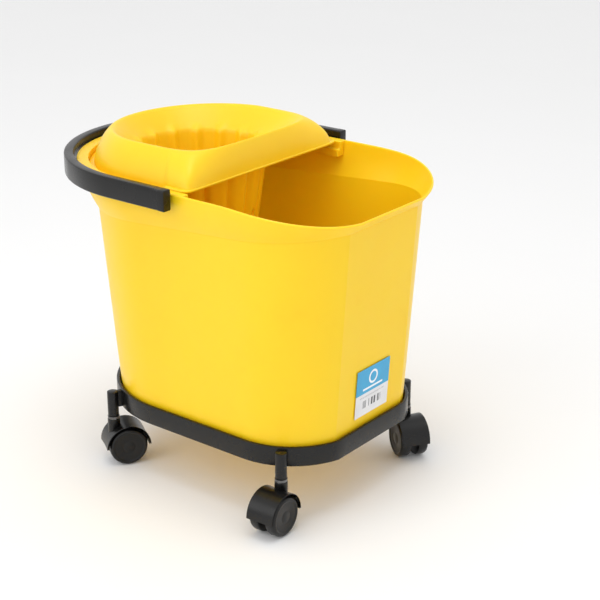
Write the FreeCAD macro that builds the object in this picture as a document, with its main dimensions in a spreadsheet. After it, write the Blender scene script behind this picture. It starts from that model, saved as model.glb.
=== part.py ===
import FreeCAD, Part
import math
import os
import Sketcher
from FreeCAD import Placement, Rotation, Vector

# Mop bucket with a drop-in wringer, a bail handle and a dolly ring on four twin-wheel castors.
# Millimetres. Z is up from the floor, X runs along the bucket towards the pour lip, Y is across.

doc = FreeCAD.newDocument("mop_bucket")

# ---------------------------------------------------------------- driving dimensions
dimensions = {
    "wall": 2.5,
    # tub outlines at the foot, at the lower edge of the rim band, inside the band and at the rim
    "footLevel": 65, "bandLevel": 281, "midLevel": 300, "rimLevel": 320,
    "footFront": 163, "footCorner": 73, "footCornerX": 93.4, "footHalf": 106, "footRearX": -29,
    "bandFront": 179, "bandCorner": 83, "bandCornerX": 98.3, "bandHalf": 118.5, "bandRearX": -34,
    "midFront": 189, "midCorner": 91, "midCornerX": 99.2, "midHalf": 125, "midRearX": -41,
    "rimFront": 198, "rimCorner": 94, "rimCornerX": 106, "rimHalf": 127.5, "rimRearX": -48,
    "lipStart": 76, "lipSweep": 390,
    # seat ring round the rear half of the mouth, which carries the wringer
    "seatLevel": 312, "seatFront": 38, "seatRearX": -45, "seatHalf": 117.5, "ledgeHalf": 113,
    "seatUnder": 304, "seatUnderHalf": 124.4, "seatUnderRearX": -42.8, "seatCorner": 20,
    # wringer: flange, hood outlines, mouth crest and ribbed basket
    "flangeHalf": 117, "flangeThick": 2.5, "flangeFront": 35,
    "hoodHalf": 112, "hoodFront": 34, "hoodCorner": 12, "hoodCornerX": 22.5,
    "shoulderLevel": 339, "shoulderHalf": 106, "shoulderFront": 32, "shoulderCorner": 45,
    "shoulderCornerX": -12.5, "shoulderRearX": -46,
    "crestLevel": 350, "crestHalf": 92, "crestFront": 28, "crestCorner": 70, "crestCornerX": -41,
    "crestRearX": -47,
    "basketX": -52, "basketTop": 69, "basketTopLevel": 327, "basketBottom": 51, "basketFloor": 192,
    "throatStep": 1.5,
    "ribCount": 16, "ribDepth": 4, "ribWidth": 5, "ribTop": 318,
    "drainRadius": 4, "drainRing": 32, "drainCount": 8,
    "slotWidth": 4, "slotLow": 250, "slotHeight": 16, "slotInner": 49, "slotOuter": 69,
    # bail handle
    "pivotX": 19, "pivotLevel": 313.4, "studRadius": 5, "studPlay": 0.06, "studTip": 120,
    "strapInner": 131, "strapThick": 10, "strapLow": 306, "strapHeight": 20.5,
    "strapRearX": -46.7, "strapEnd": 28,
    # dolly ring and castor sockets
    "ringLevel": 62, "ringHeight": 20, "ringWall": 3.5, "ringGap": 1.8, "ledgeWidth": 12,
    "socketFrontX": 136, "socketRearX": -88, "socketY": 105, "socketRadius": 5.75,
    "socketLow": 53, "socketHigh": 80, "socketBore": 4.05, "socketCap": 1.6, "webThick": 5,
    # twin-wheel castors, measured from the swivel axis at floor level
    "wheelRadius": 20, "wheelWidth": 11, "wheelGap": 8.6, "trail": 12, "wheelFace": 3,
    "axleRadius": 2.5, "running": 0.05, "hoodReach": 23.5, "hoodInner": 21.6, "hoodWidth": 31,
    "forkThick": 7.4, "hubRadius": 7, "bossRadius": 6.4, "bossTop": 50, "bossLow": 32,
    "stemRadius": 4, "stemLow": 41.5, "stemHigh": 78, "collarRadius": 6.2, "collarThick": 2.6,
    "grooveRadius": 3.2, "grooveLow": 69, "grooveHigh": 76, "gripPlay": 0.05, "gripSlit": 1.5,
    # label on the flat end wall
    "labelWidth": 54, "labelHeight": 51, "labelThick": 0.4, "labelLevel": 118,
}
sheet = doc.addObject("Spreadsheet::Sheet", "Dims")
for row, (alias, value) in enumerate(dimensions.items(), 1):
    sheet.set("A%d" % row, alias)
    sheet.set("B%d" % row, str(value))
    sheet.setAlias("B%d" % row, alias)
doc.recompute()


class Size:
    """A length with both its present value and the expression that drives it."""

    def __init__(self, value, text):
        self.value = value
        self.text = text

    def __add__(self, other):
        other = asSize(other)
        return Size(self.value + other.value, "(%s + %s)" % (self.text, other.text))

    def __sub__(self, other):
        other = asSize(other)
        return Size(self.value - other.value, "(%s - %s)" % (self.text, other.text))

    def __mul__(self, factor):
        return Size(self.value * factor, "(%s * %s)" % (self.text, repr(factor)))

    def __neg__(self):
        return self * -1


def asSize(number):
    if isinstance(number, Size):
        return number
    return Size(float(number), "(%s)" % repr(float(number)))


def dim(alias):
    return Size(float(sheet.get(alias)), "Dims." + alias)


wall = dim("wall")


# ---------------------------------------------------------------- helpers
def addBody(label):
    body = doc.addObject("PartDesign::Body", label)
    body.Label = label
    return body


def plane(body, role):
    return [feature for feature in body.Origin.OriginFeatures if feature.Role == role][0]


def addSketch(body, role, name, level=None, tilt=0.0, axisX=None):
    """Sketch on one of the body's own planes, raised along its normal and tilted about local Y.

    axisX moves the sketch's own origin, and so its vertical axis, along its horizontal axis.
    """
    sketch = body.newObject("Sketcher::SketchObject", name)
    sketch.AttachmentSupport = (plane(body, role), [""])
    sketch.MapMode = "FlatFace"
    if tilt:
        sketch.AttachmentOffset = Placement(Vector(), Rotation(Vector(0, 1, 0), -tilt))
    if level is not None:
        sketch.setExpression("AttachmentOffset.Base.z", asSize(level).text)
    if axisX is not None:
        sketch.setExpression("AttachmentOffset.Base.x", axisX.text)
    return sketch


def lock(sketch, kind, refs, size):
    """Dimension constraint driven by the sheet; a zero distance becomes a point on the axis."""
    size = asSize(size)
    if kind in ("DistanceX", "DistanceY") and abs(size.value) < 1e-9:
        axis = -2 if kind == "DistanceX" else -1
        sketch.addConstraint(Sketcher.Constraint("PointOnObject", refs[-2], refs[-1], axis))
        return
    index = sketch.addConstraint(Sketcher.Constraint(kind, *refs, size.value))
    name = "size%d" % index
    sketch.renameConstraint(index, name)
    sketch.setExpression("Constraints." + name, size.text)


def polygon(body, role, name, corners, level=None, axisX=None, turn=0.0):
    """Closed outline of straight lines, each corner placed by its two coordinates."""
    sketch = addSketch(body, role, name, level, turn, axisX)
    corners = [(asSize(x), asSize(y)) for x, y in corners]
    points = [Vector(x.value, y.value, 0) for x, y in corners]
    count = len(points)
    for index in range(count):
        sketch.addGeometry(Part.LineSegment(points[index], points[(index + 1) % count]), False)
    for index in range(count):
        follower = (index + 1) % count
        sketch.addConstraint(Sketcher.Constraint("Coincident", index, 2, follower, 1))
    for index, (x, y) in enumerate(corners):
        lock(sketch, "DistanceX", (-1, 1, index, 1), x)
        lock(sketch, "DistanceY", (-1, 1, index, 1), y)
    return sketch


def circles(body, role, name, centres, radius, level=None):
    sketch = addSketch(body, role, name, level)
    radius = asSize(radius)
    for x, y in centres:
        x, y = asSize(x), asSize(y)
        circle = Part.Circle(Vector(x.value, y.value, 0), Vector(0, 0, 1), radius.value)
        index = sketch.addGeometry(circle, False)
        lock(sketch, "Radius", (index,), radius)
        lock(sketch, "DistanceX", (-1, 1, index, 3), x)
        lock(sketch, "DistanceY", (-1, 1, index, 3), y)
    return sketch


def tubOutline(body, name, front, corner, cornerX, half, rearX, level, tilt=0.0):
    """Plan outline of the tub: flat front, two corner arcs, two straight sides, round rear.

    front is the flat end's X, cornerX and rearX are the centres of the corner and rear arcs.
    """
    front, corner, cornerX, half, rearX = [asSize(s) for s in (front, corner, cornerX, half, rearX)]
    sketch = addSketch(body, "XY_Plane", name, level, tilt)
    centreY = half.value - corner.value
    reach = math.acos((front.value - cornerX.value) / corner.value)
    edgeY = centreY + corner.value * math.sin(reach)
    normal = Vector(0, 0, 1)
    left = Part.Circle(Vector(cornerX.value, centreY, 0), normal, corner.value)
    right = Part.Circle(Vector(cornerX.value, -centreY, 0), normal, corner.value)
    rear = Part.Circle(Vector(rearX.value, 0, 0), normal, half.value)
    sketch.addGeometry([
        Part.LineSegment(Vector(front.value, -edgeY, 0), Vector(front.value, edgeY, 0)),
        Part.ArcOfCircle(left, reach, math.pi / 2),
        Part.LineSegment(Vector(cornerX.value, half.value, 0), Vector(rearX.value, half.value, 0)),
        Part.ArcOfCircle(rear, math.pi / 2, 3 * math.pi / 2),
        Part.LineSegment(Vector(rearX.value, -half.value, 0), Vector(cornerX.value, -half.value, 0)),
        Part.ArcOfCircle(right, -math.pi / 2, -reach),
    ], False)
    joins = ((0, 2, 1, 1), (5, 2, 0, 1))
    smooth = ((1, 2, 2, 1), (2, 2, 3, 1), (3, 2, 4, 1), (4, 2, 5, 1))
    for join in joins:
        sketch.addConstraint(Sketcher.Constraint("Coincident", *join))
    for join in smooth:
        sketch.addConstraint(Sketcher.Constraint("Tangent", *join))
    sketch.addConstraint(Sketcher.Constraint("Horizontal", 2))
    sketch.addConstraint(Sketcher.Constraint("PointOnObject", 3, 3, -1))
    sketch.addConstraint(Sketcher.Constraint("Symmetric", 0, 1, 0, 2, -1))
    sketch.addConstraint(Sketcher.Constraint("Equal", 1, 5))
    lock(sketch, "Radius", (1,), corner)
    lock(sketch, "Radius", (3,), half)
    lock(sketch, "DistanceX", (-1, 1, 3, 3), rearX)
    lock(sketch, "DistanceX", (-1, 1, 1, 3), cornerX)
    lock(sketch, "DistanceX", (-1, 1, 0, 1), front)
    return sketch


def feature(body, kind, name, profile, **settings):
    """PartDesign feature on one profile; sizes that are Size objects are bound to the sheet."""
    item = body.newObject("PartDesign::" + kind, name)
    item.Profile = profile
    for key, value in settings.items():
        if isinstance(value, Size):
            item.setExpression(key, value.text)
        else:
            setattr(item, key, value)
    doc.recompute()
    return item


def loft(body, kind, name, sections, ruled=True):
    return feature(body, kind, name, sections[0], Sections=sections[1:], Ruled=ruled)


def revolve(body, kind, name, profile):
    """Full turn of a profile about the sketch's own vertical axis."""
    return feature(body, kind, name, profile, ReferenceAxis=(profile, ["V_Axis"]), Angle=360.0)


def polar(body, name, originals, axis, count):
    pattern = body.newObject("PartDesign::PolarPattern", name)
    pattern.Originals = originals
    pattern.Axis = axis
    pattern.Angle = 360.0
    pattern.setExpression("Occurrences", count.text)
    body.Tip = pattern
    doc.recompute()
    return pattern


# ---------------------------------------------------------------- bucket
bandTilt = 4.0
midTilt = 1.6


def tubSections(body, prefix, inset):
    """The four plan outlines of the tub from foot to rim, inset by the given wall."""
    stages = (("foot", 0.0), ("band", bandTilt), ("mid", midTilt), ("rim", 0.0))
    sections = []
    for stage, tilt in stages:
        sections.append(tubOutline(
            body, prefix + stage, dim(stage + "Front") - inset, dim(stage + "Corner") - inset,
            dim(stage + "CornerX"), dim(stage + "Half") - inset, dim(stage + "RearX"),
            dim(stage + "Level"), tilt))
    return sections


def addSeat(body):
    """Seat ring: a block inside the rim's rear half, opened by a pocket and a deeper ledge hole."""
    corner = dim("seatCorner")
    cornerX = dim("seatFront") - corner * 0.99
    low = tubOutline(body, "seat_low", dim("seatFront"), corner, cornerX,
                     dim("seatUnderHalf"), dim("seatUnderRearX"), dim("seatUnder"))
    high = tubOutline(body, "seat_high", dim("seatFront"), corner, cornerX,
                      dim("rimHalf") - wall * 0.5, dim("rimRearX"), dim("rimLevel"))
    loft(body, "AdditiveLoft", "seat_ring", [low, high])
    above = dim("rimLevel") + 5
    openFront = dim("seatFront") + 30
    for name, half, depth in (("seat_pocket", dim("seatHalf"), above - dim("seatLevel")),
                              ("ledge_hole", dim("ledgeHalf"), above - dim("seatUnder") + 3)):
        cut = tubOutline(body, name + "_outline", openFront, corner, openFront - corner * 0.99,
                         half, dim("seatRearX"), above)
        feature(body, "Pocket", name, cut, Length=depth)


def trimRim(body):
    """The rim runs level, then falls in one sweep to the pour lip."""
    sketch = addSketch(body, "XZ_Plane", "rim_line")
    start, sweep, top = dim("lipStart"), dim("lipSweep"), dim("rimLevel")
    far = dim("rimFront") + 10
    turn = math.asin((far.value - start.value) / sweep.value)
    arc = Part.Circle(Vector(start.value, top.value - sweep.value, 0), Vector(0, 0, 1), sweep.value)
    endZ = top.value - sweep.value * (1 - math.cos(turn))
    roof = top + 20
    corners = [Vector(far.value, endZ, 0), Vector(far.value, roof.value, 0),
               Vector(start.value, roof.value, 0), Vector(start.value, top.value, 0)]
    sketch.addGeometry(Part.ArcOfCircle(arc, math.pi / 2 - turn, math.pi / 2), False)
    for first, second in zip(corners, corners[1:]):
        sketch.addGeometry(Part.LineSegment(first, second), False)
    for join in ((0, 1, 1, 1), (1, 2, 2, 1), (2, 2, 3, 1), (3, 2, 0, 2)):
        sketch.addConstraint(Sketcher.Constraint("Coincident", *join))
    for kind, line in (("Vertical", 1), ("Horizontal", 2), ("Vertical", 3)):
        sketch.addConstraint(Sketcher.Constraint(kind, line))
    lock(sketch, "Radius", (0,), sweep)
    lock(sketch, "DistanceX", (-1, 1, 0, 3), start)
    lock(sketch, "DistanceY", (-1, 1, 0, 2), top)
    lock(sketch, "DistanceX", (-1, 1, 1, 1), far)
    lock(sketch, "DistanceY", (-1, 1, 1, 2), roof)
    feature(body, "Pocket", "rim_sweep", sketch, Length=dim("rimHalf") * 3, Midplane=True)


def makeBucket():
    body = addBody("bucket")
    foot, band, mid, rim = tubSections(body, "outer_", asSize(0))
    loft(body, "AdditiveLoft", "tub", [foot, band])
    loft(body, "AdditiveLoft", "rim_band", [band, mid, rim], ruled=False)
    footIn, bandIn, midIn, rimIn = tubSections(body, "inner_", wall)
    footIn.setExpression("AttachmentOffset.Base.z", (dim("footLevel") + wall).text)
    loft(body, "SubtractiveLoft", "tub_hollow", [footIn, bandIn])
    loft(body, "SubtractiveLoft", "band_hollow", [bandIn, midIn, rimIn], ruled=False)
    addSeat(body)
    trimRim(body)
    reach = dim("strapInner") + 5
    depth = reach - dim("studTip") + 0.5
    hole = dim("studRadius") + dim("studPlay")
    for side, level, back in (("near", reach, False), ("far", -reach, True)):
        sketch = circles(body, "XZ_Plane", "pivot_%s" % side,
                         [(dim("pivotX"), dim("pivotLevel"))], hole, level)
        feature(body, "Pocket", "pivot_hole_%s" % side, sketch, Length=depth, Reversed=back)
    return body


# ---------------------------------------------------------------- wringer
def hoodSections(body, prefix, inset, lower):
    """Hood outlines from the flange up to the mouth crest."""
    stages = (("hood", dim("seatLevel"), dim("seatRearX")),
              ("shoulder", dim("shoulderLevel"), dim("shoulderRearX")),
              ("crest", dim("crestLevel"), dim("crestRearX")))
    sections = []
    for stage, level, rearX in stages:
        drop = lower if stage == "crest" else asSize(0)
        sections.append(tubOutline(
            body, prefix + stage, dim(stage + "Front") - inset, dim(stage + "Corner") - inset,
            dim(stage + "CornerX"), dim(stage + "Half") - inset, rearX, level - drop))
    return sections


def basketSize(inset, level):
    """Basket radius at a level, less an inset: the wall leans evenly from floor to top."""
    lean = (dim("basketTop").value - dim("basketBottom").value) \
        / (dim("basketTopLevel").value - dim("basketFloor").value)
    return dim("basketBottom") - inset + (level - dim("basketFloor")) * lean


def basketProfile(body, name, inset, floor, top):
    """Half section of the basket cone, at its own axis."""
    corners = [(0, floor), (basketSize(inset, floor), floor), (basketSize(inset, top), top), (0, top)]
    return polygon(body, "XZ_Plane", name, corners, axisX=dim("basketX"))


def roundOutline(body, name, radius, level):
    """The basket's round top, drawn with the same six edges as the hood outlines."""
    centre = dim("basketX")
    return tubOutline(body, name, centre + 1 + radius * 0.96, radius * 0.98, centre + 1, radius,
                      centre - 1, level)


def addBasket(body):
    """Funnel from the mouth crest down to the basket, then the basket cone, both hollow."""
    top, floor = dim("basketTopLevel"), dim("basketFloor")
    for kind, turnKind, prefix, inset, step in (
            ("AdditiveLoft", "Revolution", "solid_", asSize(0), dim("throatStep")),
            ("SubtractiveLoft", "Groove", "hollow_", wall, -dim("throatStep"))):
        crest = tubOutline(body, prefix + "mouth", dim("crestFront") - inset,
                           dim("crestCorner") - inset, dim("crestCornerX"),
                           dim("crestHalf") - inset, dim("crestRearX"), dim("crestLevel"))
        throat = roundOutline(body, prefix + "throat", dim("basketTop") - inset + step, top)
        loft(body, kind, prefix + "funnel", [crest, throat])
        cone = basketProfile(body, prefix + "cone_profile", inset, floor + inset, top)
        revolve(body, turnKind, prefix + "cone", cone)


def addRibs(body):
    low = dim("basketFloor") + wall * 0.5
    high = dim("ribTop")
    edge = wall * 0.6
    reach = wall + dim("ribDepth")
    profile = polygon(body, "XZ_Plane", "rib_profile",
                      [(basketSize(reach, low), low), (basketSize(edge, low), low),
                       (basketSize(edge, high), high), (basketSize(wall + 0.5, high), high)],
                      axisX=dim("basketX"))
    rib = feature(body, "Pad", "rib", profile, Length=dim("ribWidth"), Midplane=True)
    polar(body, "ribs", [rib], (profile, ["V_Axis"]), dim("ribCount"))


def addDrains(body):
    """Round holes through the basket's floor and one upright slot in each panel between ribs."""
    floor = dim("basketFloor")
    inner, outer = dim("slotInner"), dim("slotOuter")
    low = dim("slotLow")
    high = low + dim("slotHeight")
    slotProfile = polygon(body, "XZ_Plane", "slot_profile",
                          [(inner, low), (outer, low), (outer, high), (inner, high)],
                          axisX=dim("basketX"), turn=180.0 / dim("ribCount").value)
    outline = circles(body, "XY_Plane", "drain_outline",
                      [(dim("basketX") + dim("drainRing"), 0)], dim("drainRadius"), floor + wall * 2)
    drain = feature(body, "Pocket", "drain", outline, Length=wall * 3)
    polar(body, "drains", [drain], (slotProfile, ["V_Axis"]), dim("drainCount"))
    slot = feature(body, "Pocket", "slot", slotProfile, Length=dim("slotWidth"), Midplane=True)
    polar(body, "slots", [slot], (slotProfile, ["V_Axis"]), dim("ribCount"))


def makeWringer():
    body = addBody("wringer")
    corner = dim("hoodCorner")
    flange = tubOutline(body, "flange_outline", dim("flangeFront"), corner,
                        dim("flangeFront") - corner * 0.97, dim("flangeHalf"), dim("seatRearX"),
                        dim("seatLevel"))
    feature(body, "Pad", "flange", flange, Length=dim("flangeThick"))
    loft(body, "AdditiveLoft", "hood", hoodSections(body, "hood_out_", asSize(0), asSize(0)))
    loft(body, "SubtractiveLoft", "hood_hollow", hoodSections(body, "hood_in_", wall, wall))
    addBasket(body)
    addRibs(body)
    addDrains(body)
    return body


# ---------------------------------------------------------------- handle
def strapSketch(body):
    """Strap seen from above: two straight arms joined by a half circle."""
    inner, thick = dim("strapInner"), dim("strapThick")
    rearX, end = dim("strapRearX"), dim("strapEnd")
    sketch = addSketch(body, "XY_Plane", "strap_outline", dim("strapLow"))
    half = [inner.value + thick.value, inner.value]
    normal = Vector(0, 0, 1)
    for radius, forward in ((half[0], True), (half[1], False)):
        circle = Part.Circle(Vector(rearX.value, 0, 0), normal, radius)
        sketch.addGeometry(Part.ArcOfCircle(circle, math.pi / 2, 3 * math.pi / 2), False)
    for sign in (1, -1):
        for radius in half:
            first = Vector(rearX.value, sign * radius, 0)
            second = Vector(end.value, sign * radius, 0)
            sketch.addGeometry(Part.LineSegment(first, second), False)
        sketch.addGeometry(Part.LineSegment(Vector(end.value, sign * half[0], 0),
                                            Vector(end.value, sign * half[1], 0)), False)
    for join in ((0, 1, 2, 1), (1, 1, 3, 1), (0, 2, 5, 1), (1, 2, 6, 1)):
        sketch.addConstraint(Sketcher.Constraint("Tangent", *join))
    for join in ((2, 2, 4, 1), (3, 2, 4, 2), (5, 2, 7, 1), (6, 2, 7, 2), (0, 3, 1, 3)):
        sketch.addConstraint(Sketcher.Constraint("Coincident", *join))
    for line in (2, 3, 5, 6):
        sketch.addConstraint(Sketcher.Constraint("Horizontal", line))
    for line in (4, 7):
        sketch.addConstraint(Sketcher.Constraint("Vertical", line))
    sketch.addConstraint(Sketcher.Constraint("PointOnObject", 0, 3, -1))
    lock(sketch, "Radius", (0,), inner + thick)
    lock(sketch, "Radius", (1,), inner)
    lock(sketch, "DistanceX", (-1, 1, 0, 3), rearX)
    lock(sketch, "DistanceX", (-1, 1, 4, 1), end)
    lock(sketch, "DistanceX", (-1, 1, 7, 1), end)
    return sketch


def makeHandle():
    body = addBody("handle")
    feature(body, "Pad", "strap", strapSketch(body), Length=dim("strapHeight"))
    for side, level, back in (("near", dim("strapInner"), True), ("far", -dim("strapInner"), False)):
        sketch = circles(body, "XZ_Plane", "stud_%s_outline" % side,
                         [(dim("pivotX"), dim("pivotLevel"))], dim("studRadius"), level)
        feature(body, "Pad", "stud_%s" % side, sketch,
                Length=dim("strapInner") - dim("studTip"), Reversed=back)
    return body


# ---------------------------------------------------------------- dolly
sockets = {
    "front_left": (dim("socketFrontX"), dim("socketY")),
    "front_right": (dim("socketFrontX"), -dim("socketY")),
    "rear_left": (dim("socketRearX"), dim("socketY")),
    "rear_right": (dim("socketRearX"), -dim("socketY")),
}


def footOutline(body, name, grow, level):
    """The foot's plan outline, grown outwards by a distance."""
    return tubOutline(body, name, dim("footFront") + grow, dim("footCorner") + grow,
                      dim("footCornerX"), dim("footHalf") + grow, dim("footRearX"), level)


def webCorners(x, y, front):
    """Four corners of the web that runs from a socket's axis into the ring's wall."""
    side = math.copysign(1, y.value)
    if front:
        centre = Vector(dim("footCornerX").value,
                        side * (dim("footHalf").value - dim("footCorner").value), 0)
        radius = dim("footCorner").value
    else:
        centre = Vector(dim("footRearX").value, 0, 0)
        radius = dim("footHalf").value
    start = Vector(x.value, y.value, 0)
    inward = (centre - start).normalize()
    across = Vector(-inward.y, inward.x, 0) * (dim("webThick").value / 2)
    ringMiddle = radius + dim("ringGap").value + dim("ringWall").value / 2
    end = start + inward * (start.distanceToPoint(centre) - ringMiddle)
    return [(point.x, point.y) for point in (start - across, end - across, end + across, start + across)]


def makeDolly():
    body = addBody("dolly_frame")
    level, tall = dim("ringLevel"), dim("ringHeight")
    outer = footOutline(body, "ring_outer", dim("ringGap") + dim("ringWall"), level)
    feature(body, "Pad", "ring", outer, Length=tall)
    inner = footOutline(body, "ring_inner", dim("ringGap"), level + tall)
    feature(body, "Pocket", "foot_pocket", inner, Length=level + tall - dim("footLevel"))
    ledge = footOutline(body, "ledge_edge", -dim("ledgeWidth"), level + tall)
    feature(body, "Pocket", "ledge_opening", ledge, Length=tall + 5)
    for name, (x, y) in sockets.items():
        web = polygon(body, "XY_Plane", "web_" + name, webCorners(x, y, name.startswith("front")), level)
        feature(body, "Pad", "web_pad_" + name, web, Length=dim("socketHigh") - level)
    centres = list(sockets.values())
    tubes = circles(body, "XY_Plane", "socket_tubes", centres, dim("socketRadius"), dim("socketLow"))
    feature(body, "Pad", "sockets", tubes, Length=dim("socketHigh") - dim("socketLow"))
    bores = circles(body, "XY_Plane", "socket_bores", centres, dim("socketBore"), dim("socketLow"))
    feature(body, "Pocket", "bores", bores, Reversed=True,
            Length=dim("socketHigh") - dim("socketCap") - dim("socketLow"))
    return body


# ---------------------------------------------------------------- castors
# Which way each castor trails, in degrees about Z from the X axis.
castorTrails = {"front_left": -34.0, "front_right": -88.0, "rear_left": 110.0, "rear_right": 58.0}


def makeStem(label):
    body = addBody(label)
    low, high, radius = dim("stemLow"), dim("stemHigh"), dim("stemRadius")
    collarLow = dim("bossTop")
    collarHigh = collarLow + dim("collarThick")
    groove = dim("grooveRadius")
    profile = polygon(body, "XZ_Plane", "stem_profile", [
        (0, low), (radius, low), (radius, collarLow), (dim("collarRadius"), collarLow),
        (dim("collarRadius"), collarHigh), (radius, collarHigh), (radius, dim("grooveLow")),
        (groove, dim("grooveLow")), (groove, dim("grooveHigh")), (radius, dim("grooveHigh")),
        (radius, high - 1), (radius - 1, high), (0, high)])
    revolve(body, "Revolution", "stem", profile)
    return body


def makeGripRing(label):
    body = addBody(label)
    play = dim("gripPlay")
    low, high = dim("grooveLow") + play * 6, dim("grooveHigh") - play * 6
    inner, outer = dim("grooveRadius") + play, dim("socketBore")
    profile = polygon(body, "XZ_Plane", "ring_profile",
                      [(inner, low), (outer, low), (outer, high), (inner, high)])
    revolve(body, "Revolution", "ring", profile)
    half = dim("gripSlit") * 0.5
    slit = polygon(body, "XY_Plane", "slit_outline",
                   [(1, -half), (outer + 1, -half), (outer + 1, half), (1, half)], high + 1)
    feature(body, "Pocket", "slit", slit, Length=high - low + 2)
    return body


def makeHousing(label):
    body = addBody(label)
    wheelX, wheelZ = -dim("trail"), dim("wheelRadius")
    centre = [(wheelX, wheelZ)]
    reach, width = dim("hoodReach"), dim("hoodWidth")
    shell = circles(body, "XZ_Plane", "hood_outline", centre, reach)
    feature(body, "Pad", "hood", shell, Length=width, Midplane=True)
    below = polygon(body, "XZ_Plane", "hood_below",
                    [(wheelX - reach - 1, wheelZ - reach - 1), (wheelX + reach + 1, wheelZ - reach - 1),
                     (wheelX + reach + 1, wheelZ), (wheelX - reach - 1, wheelZ)])
    feature(body, "Pocket", "hood_edge", below, Length=width + 2, Midplane=True)
    boss = circles(body, "XY_Plane", "boss_outline", [(0, 0)], dim("bossRadius"), dim("bossLow"))
    feature(body, "Pad", "boss", boss, Length=dim("bossTop") - dim("bossLow"))
    half = dim("forkThick") * 0.5
    for side, level, out in (("right", half, True), ("left", -half, False)):
        well = circles(body, "XZ_Plane", "well_outline_" + side, centre, dim("hoodInner"), level)
        feature(body, "Pocket", "well_" + side, well, Length=width, Reversed=out)
    hub = circles(body, "XZ_Plane", "hub_outline", centre, dim("hubRadius"))
    feature(body, "Pad", "hub", hub, Length=dim("forkThick"), Midplane=True)
    axle = circles(body, "XZ_Plane", "axle_outline", centre, dim("axleRadius"))
    feature(body, "Pocket", "axle_hole", axle, Length=width, Midplane=True)
    bore = circles(body, "XY_Plane", "stem_outline", [(0, 0)], dim("stemRadius"), dim("bossTop"))
    feature(body, "Pocket", "stem_bore", bore, Length=dim("bossTop") - dim("stemLow"))
    return body


def makeAxle(label):
    """Drawn along Z about its own middle."""
    body = addBody(label)
    half = dim("wheelGap") * 0.5 + dim("wheelWidth") - dim("wheelFace") - 0.4
    section = circles(body, "XY_Plane", "axle_section", [(0, 0)], dim("axleRadius"))
    feature(body, "Pad", "axle", section, Length=half * 2, Midplane=True)
    return body


def makeWheel(label):
    """Drawn along Z from its inner face: blind axle bore, rounded tread, shallow dished face."""
    body = addBody(label)
    radius, width = dim("wheelRadius"), dim("wheelWidth")
    bore = dim("axleRadius") + dim("running")
    deep = width - dim("wheelFace")
    dish = radius * 0.8
    profile = polygon(body, "XZ_Plane", "wheel_profile", [
        (bore, 0), (radius - 1.2, 0), (radius, 1.2), (radius, width - 2), (radius - 2, width),
        (dish, width), (dish - 1, width - 0.8), (0, width - 0.8), (0, deep), (bore, deep)])
    revolve(body, "Revolution", "wheel", profile)
    return body


def makeCastor(name):
    """One castor's six pieces, each drawn about the swivel axis and then placed."""
    x, y = sockets[name]
    place = Placement(Vector(x.value, y.value, 0), Rotation(Vector(0, 0, 1), castorTrails[name] - 180))
    prefix = "castor_%s_" % name
    centred = [makeStem(prefix + "stem"), makeGripRing(prefix + "grip_ring"),
               makeHousing(prefix + "housing")]
    for body in centred:
        body.Placement = place
    across = dim("wheelGap").value / 2
    onAxle = [(makeAxle(prefix + "axle"), 0, -90), (makeWheel(prefix + "wheel_left"), across, -90),
              (makeWheel(prefix + "wheel_right"), -across, 90)]
    for body, offset, turn in onAxle:
        hub = Vector(-dim("trail").value, offset, dim("wheelRadius").value)
        body.Placement = place.multiply(Placement(hub, Rotation(Vector(1, 0, 0), turn)))
    return centred + [body for body, offset, turn in onAxle]


# ---------------------------------------------------------------- label
def makeLabel():
    """Thin sticker on the leaning flat end wall."""
    label = doc.addObject("Part::Box", "label")
    label.Label = "label"
    label.setExpression("Length", dim("labelThick").text)
    label.setExpression("Width", dim("labelWidth").text)
    label.setExpression("Height", dim("labelHeight").text)
    tilt = math.radians(bandTilt)
    topX = dim("bandFront").value * math.cos(tilt)
    topZ = dim("bandLevel").value + dim("bandFront").value * math.sin(tilt)
    footX, footZ = dim("footFront").value, dim("footLevel").value
    lean = math.atan2(topX - footX, topZ - footZ)
    low = dim("labelLevel").value - dim("labelHeight").value / 2
    faceX = footX + (low - footZ) * math.tan(lean)
    label.Placement = Placement(Vector(faceX, -dim("labelWidth").value / 2, low),
                                Rotation(Vector(0, 1, 0), math.degrees(lean)))
    return label


# ---------------------------------------------------------------- build, check and write
nodes = [makeBucket(), makeWringer(), makeHandle(), makeDolly(), makeLabel()]
for name in sockets:
    nodes += makeCastor(name)
doc.recompute()

for item in doc.Objects:
    if "Invalid" in item.State or "Error" in item.State:
        raise RuntimeError("%s failed: %s" % (item.Name, item.getStatusString()))
for node in nodes:
    if node.Shape.isNull() or not node.Shape.isValid() or len(node.Shape.Solids) != 1:
        raise RuntimeError("%s is not one valid solid" % node.Label)

os.makedirs("parts", exist_ok=True)
for node in nodes:
    node.Shape.exportStep("parts/%s.step" % node.Label)
    print(node.Label, round(node.Shape.Volume), node.Shape.optimalBoundingBox())
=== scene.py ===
import math

import bmesh
import bpy
from mathutils import Matrix, Vector


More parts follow.
